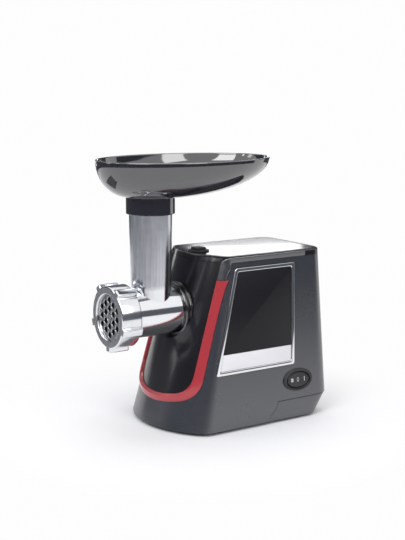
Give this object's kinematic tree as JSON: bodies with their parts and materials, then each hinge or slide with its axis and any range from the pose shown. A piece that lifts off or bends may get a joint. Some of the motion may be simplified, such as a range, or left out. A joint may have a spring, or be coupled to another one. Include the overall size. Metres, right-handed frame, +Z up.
{
  "type": "electric meat grinder",
  "caption": "Upright electric meat grinder with a side-mounted rocker switch, a cast grinding head with screw-on ring, and an oval loading tray on a vertical feed tube.",
  "frame": {"origin": "on the floor under the feet, at the centre of the footprint of the whole grinder", "axes": "+Z up; -Y is the front, where the grinding head points; +X is the side with the label and the switch"},
  "size_m": [0.1452, 0.2474, 0.2848],
  "materials": {
    "housing_plastic": "satin charcoal moulding",
    "black_gloss": "high gloss black moulding",
    "black_matte": "fine matte black moulding",
    "red_plastic": "gloss dark red moulding",
    "white_plastic": "smooth light grey-white",
    "chrome_trim": "bright chrome plating",
    "cast_aluminium": "polished cast aluminium",
    "steel": "ground steel",
    "dark_steel": "phosphated dark steel",
    "zinc_die_cast": "as-cast grey metal",
    "copper_winding": "lacquered copper wire",
    "nylon": "natural nylon",
    "rubber": "matte black rubber",
    "board": "green lacquer",
    "carbon": "dull carbon"
  },
  "bodies": {
    "housing": {"housing_shell": "housing_plastic", "rear_skirt": "housing_plastic", "front_cover": "black_gloss", "band": "red_plastic", "rim_left": "housing_plastic", "rim_right": "housing_plastic", "lid": "black_gloss", "label_frame": "chrome_trim", "label_plate": "black_gloss", "label_strip": "white_plastic", "switch_bezel": "black_matte", "switch_box": "black_matte", "button_guide": "black_matte", "button_spring": "steel", "head_socket": "black_matte", "base_plate": "black_matte", "control_board": "board", "cord_gland": "rubber", "gear_case": "zinc_die_cast", "gear_plate": "zinc_die_cast", "output_bush": "nylon", "gear_pin_first": "steel", "gear_pin_middle": "steel", "motor_stator": "dark_steel", "motor_bracket": "zinc_die_cast", "bearing_front": "steel", "bearing_rear": "steel", "field_coil_left": "copper_winding", "motor_bolt_left": "steel", "brush_left": "carbon", "brush_holder_left": "nylon", "foot_front_left": "rubber", "base_screw_front_left": "steel", "foot_rear_left": "rubber", "base_screw_rear_left": "steel", "field_coil_right": "copper_winding", "motor_bolt_right": "steel", "brush_right": "carbon", "brush_holder_right": "nylon", "foot_front_right": "rubber", "base_screw_front_right": "steel", "foot_rear_right": "rubber", "base_screw_rear_right": "steel"},
    "rocker": {"switch_rocker": "black_gloss"},
    "button": {"release_button": "black_matte"},
    "latch": {"latch_lever": "dark_steel"},
    "head": {"head_casting": "cast_aluminium"},
    "tray_body": {"tray": "black_gloss"},
    "plate": {"grinding_plate": "steel"},
    "nut": {"ring_nut": "cast_aluminium"},
    "drive": {"auger": "cast_aluminium", "auger_washer": "nylon", "knife": "steel", "output_coupling": "steel", "gear_output": "nylon"},
    "middle": {"gear_middle": "nylon"},
    "first": {"gear_first": "nylon"},
    "rotor": {"armature": "copper_winding", "motor_fan": "black_matte"}
  },
  "joints": [
    {"name": "rocker_tilt", "type": "hinge", "parent": "housing", "child": "rocker", "pos_m": [0.06521, 0.0779, 0.04306], "axis": [-0.1057, 0, 0.9944], "range_deg": [-10, 10]},
    {"name": "button_press", "type": "slide", "parent": "housing", "child": "button", "axis": [0, 0, -1], "range_m": [0, 0.003], "stiffness_N_per_m": 500, "springref_m": -0.003, "deforming": ["button_spring"]},
    {"name": "latch_swing", "type": "hinge", "parent": "housing", "child": "latch", "pos_m": [0, -0.0168, 0.154], "axis": [-1, 0, 0], "range_deg": [0, 19]},
    {"name": "head_turn", "type": "hinge", "parent": "housing", "child": "head", "pos_m": [0, -0.0663, 0.123], "axis": [0, -1, 0], "range_deg": [0, 45]},
    {"name": "tray_lift", "type": "slide", "parent": "head", "child": "tray_body", "axis": [0, 0, 1], "range_m": [0, 0.06]},
    {"name": "plate_travel", "type": "slide", "parent": "head", "child": "plate", "axis": [0, -1, 0], "range_m": [0, 0.0091]},
    {"name": "ring_turn", "type": "hinge", "parent": "plate", "child": "nut", "pos_m": [0, -0.0663, 0.123], "axis": [0, -1, 0], "range_deg": [0, 1080]},
    {"name": "auger_spin", "type": "hinge", "parent": "housing", "child": "drive", "pos_m": [0, -0.0663, 0.123], "axis": [0, 1, 0], "continuous": true},
    {"name": "middle_spin", "type": "hinge", "parent": "housing", "child": "middle", "pos_m": [0.028, -0.0663, 0.09244], "axis": [0, 1, 0], "continuous": true},
    {"name": "first_spin", "type": "hinge", "parent": "housing", "child": "first", "pos_m": [0, -0.0663, 0.07812], "axis": [0, 1, 0], "continuous": true},
    {"name": "rotor_spin", "type": "hinge", "parent": "housing", "child": "rotor", "pos_m": [0, -0.0663, 0.05092], "axis": [0, 1, 0], "continuous": true}
  ],
  "couplings": [
    {"joint": "latch_swing", "follows": "button_press", "rad_per_m": 110},
    {"joint": "plate_travel", "follows": "ring_turn", "m_per_rad": 0.00047746},
    {"joint": "middle_spin", "follows": "auger_spin", "ratio": -4},
    {"joint": "first_spin", "follows": "auger_spin", "ratio": 16},
    {"joint": "rotor_spin", "follows": "auger_spin", "ratio": -80}
  ]
}
